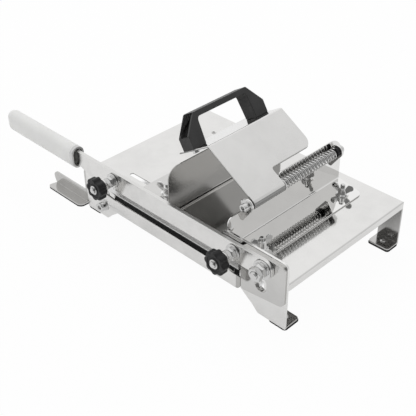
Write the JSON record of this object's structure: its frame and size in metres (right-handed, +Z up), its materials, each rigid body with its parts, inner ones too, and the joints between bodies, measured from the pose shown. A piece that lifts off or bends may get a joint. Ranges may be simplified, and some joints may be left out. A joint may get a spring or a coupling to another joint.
{
  "type": "lever food slicer",
  "caption": "Tabletop lever slicer for dried meat: hinged blade bar with a stop plate, sliding guides and a spring-fed carriage on a low sheet-metal stand.",
  "frame": {"origin": "middle of the overall box on the floor plane, under the feet", "axes": "+X from the grip towards the lever pivot, +Y from the blade towards the back, +Z up"},
  "size_m": [0.5174, 0.272, 0.1954],
  "materials": {
    "sheet_steel": "satin stainless sheet",
    "lever_steel": "brushed stainless bar",
    "blade_steel": "ground stainless blade",
    "collar_steel": "plain pressed ring",
    "bright_steel": "bright plated fasteners",
    "spring_steel": "bright spring wire",
    "white_plastic": "smooth white",
    "black_plastic": "fine grained black",
    "rubber": "plain black"
  },
  "bodies": {
    "base": {"table": "sheet_steel", "front_wall": "sheet_steel", "rear_leg_right": "sheet_steel", "rear_leg_left": "sheet_steel", "foot_pads": "rubber", "foot_rivets": "bright_steel", "side_bracket": "sheet_steel", "bracket_pad": "rubber", "bracket_screw": "bright_steel", "pivot_plate": "sheet_steel", "pivot_bolt": "bright_steel", "pivot_nuts": "bright_steel"},
    "lever": {"lever_bar": "lever_steel", "blade": "blade_steel", "stop_studs": "bright_steel", "grip": "white_plastic", "grip_collar": "collar_steel"},
    "stop": {"stop_plate": "lever_steel"},
    "left_adjuster": {"adjuster_left": "bright_steel", "knob_left": "black_plastic"},
    "right_adjuster": {"adjuster_right": "bright_steel", "knob_right": "black_plastic"},
    "left_fence": {"left_guide": "sheet_steel", "left_clamp_bolts": "bright_steel"},
    "left_front_nut": {"left_front_wing_nut": "bright_steel"},
    "left_back_nut": {"left_back_wing_nut": "bright_steel"},
    "right_fence": {"right_guide": "sheet_steel", "right_clamp_bolts": "bright_steel", "rod": "bright_steel", "rod_screws": "bright_steel", "rod_cap": "black_plastic", "feed_spring": "spring_steel"},
    "right_front_nut": {"right_front_wing_nut": "bright_steel"},
    "right_back_nut": {"right_back_wing_nut": "bright_steel"},
    "runner": {"spring_washer": "bright_steel"},
    "feeder": {"carriage": "sheet_steel", "carriage_barrel": "lever_steel", "carriage_handle": "black_plastic", "handle_screws": "bright_steel"}
  },
  "joints": [
    {"name": "lever_pivot", "type": "hinge", "parent": "base", "child": "lever", "pos_m": [0.22875, -0.098, 0.08], "axis": [0, 1, 0], "range_deg": [0, 65]},
    {"name": "stop_slide", "type": "slide", "parent": "lever", "child": "stop", "axis": [0, -1, 0], "range_m": [0, 0.008]},
    {"name": "left_knob_turn", "type": "hinge", "parent": "stop", "child": "left_adjuster", "pos_m": [-0.02905, -0.117, 0.0805], "axis": [0, -1, 0], "range_deg": [0, 2304.5]},
    {"name": "right_knob_turn", "type": "hinge", "parent": "stop", "child": "right_adjuster", "pos_m": [0.18375, -0.117, 0.0805], "axis": [0, -1, 0], "range_deg": [0, 2304.5]},
    {"name": "left_fence_slide", "type": "slide", "parent": "base", "child": "left_fence", "axis": [-1, 0, 0], "range_m": [0, 0.06]},
    {"name": "left_front_nut_turn", "type": "hinge", "parent": "left_fence", "child": "left_front_nut", "pos_m": [0.03175, -0.062, 0.076], "axis": [0, 0, 1], "continuous": true},
    {"name": "left_back_nut_turn", "type": "hinge", "parent": "left_fence", "child": "left_back_nut", "pos_m": [0.03175, 0.092, 0.076], "axis": [0, 0, 1], "continuous": true},
    {"name": "right_fence_slide", "type": "slide", "parent": "base", "child": "right_fence", "axis": [1, 0, 0], "range_m": [-0.008, 0.008]},
    {"name": "right_front_nut_turn", "type": "hinge", "parent": "right_fence", "child": "right_front_nut", "pos_m": [0.19275, -0.062, 0.076], "axis": [0, 0, 1], "continuous": true},
    {"name": "right_back_nut_turn", "type": "hinge", "parent": "right_fence", "child": "right_back_nut", "pos_m": [0.19275, 0.092, 0.076], "axis": [0, 0, 1], "continuous": true},
    {"name": "carriage_feed", "type": "slide", "parent": "right_fence", "child": "runner", "axis": [0, 1, 0], "range_m": [0, 0.07], "stiffness_N_per_m": 150, "deforming": ["feed_spring"]},
    {"name": "carriage_lift", "type": "hinge", "parent": "runner", "child": "feeder", "pos_m": [0.17315, -0.037, 0.1218], "axis": [0, 1, 0], "range_deg": [0, 60]}
  ],
  "couplings": [
    {"joint": "left_knob_turn", "follows": "stop_slide", "rad_per_m": 5026.5},
    {"joint": "right_knob_turn", "follows": "stop_slide", "rad_per_m": 5026.5}
  ]
}
